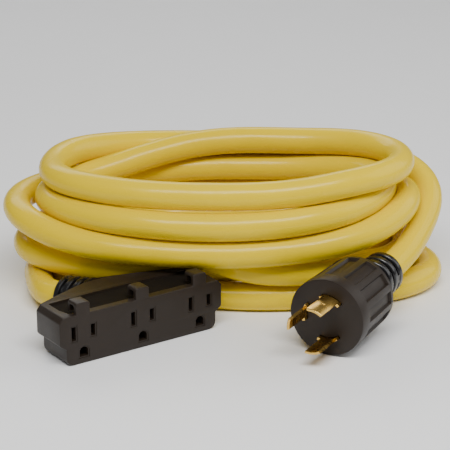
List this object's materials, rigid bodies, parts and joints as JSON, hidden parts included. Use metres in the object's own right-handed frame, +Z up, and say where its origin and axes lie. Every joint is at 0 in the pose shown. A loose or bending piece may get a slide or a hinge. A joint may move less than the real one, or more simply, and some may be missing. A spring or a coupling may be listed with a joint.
{
  "type": "power cord",
  "caption": "Heavy yellow power cord coiled up, with a rounded locking plug on one end and a wide flat outlet head on the other.",
  "frame": {"origin": "on the floor under the middle of the outlet head's own box, from outlet face to sleeve end", "axes": "+Z up, -Y the way the outlet face looks, +X along the row of outlets"},
  "size_m": [0.2821, 0.25, 0.083],
  "materials": {
    "black_moulding": "satin moulded vinyl",
    "nylon": "plain moulded insulator",
    "brass": "stamped, lightly polished",
    "tinned": "tinned crimp barrel",
    "yellow_jacket": "glossy extruded vinyl jacket",
    "wire_black": "conductor insulation",
    "wire_white": "conductor insulation",
    "wire_green": "conductor insulation"
  },
  "bodies": {
    "root": {"head_face_cover": "black_moulding", "head_rear_moulding": "black_moulding", "contact_carrier": "nylon", "contact_retainer": "nylon", "line_bus_bar": "brass", "neutral_bus_bar": "brass", "ground_bus_bar": "brass", "line_head_crimp": "tinned", "neutral_head_crimp": "tinned", "ground_head_crimp": "tinned", "line_head_conductor": "wire_black", "neutral_head_conductor": "wire_white", "ground_head_conductor": "wire_green", "head_strain_relief": "black_moulding", "head_jacket_end": "yellow_jacket", "plug_body": "black_moulding", "plug_blade_carrier": "nylon", "line_blade": "brass", "neutral_blade": "brass", "ground_blade": "brass", "line_plug_crimp": "tinned", "neutral_plug_crimp": "tinned", "ground_plug_crimp": "tinned", "line_plug_conductor": "wire_black", "neutral_plug_conductor": "wire_white", "ground_plug_conductor": "wire_green", "plug_strain_relief": "black_moulding", "plug_jacket_end": "yellow_jacket", "cord_coil": "yellow_jacket", "cord_tail_head": "yellow_jacket", "cord_tail_plug": "yellow_jacket"}
  },
  "joints": []
}
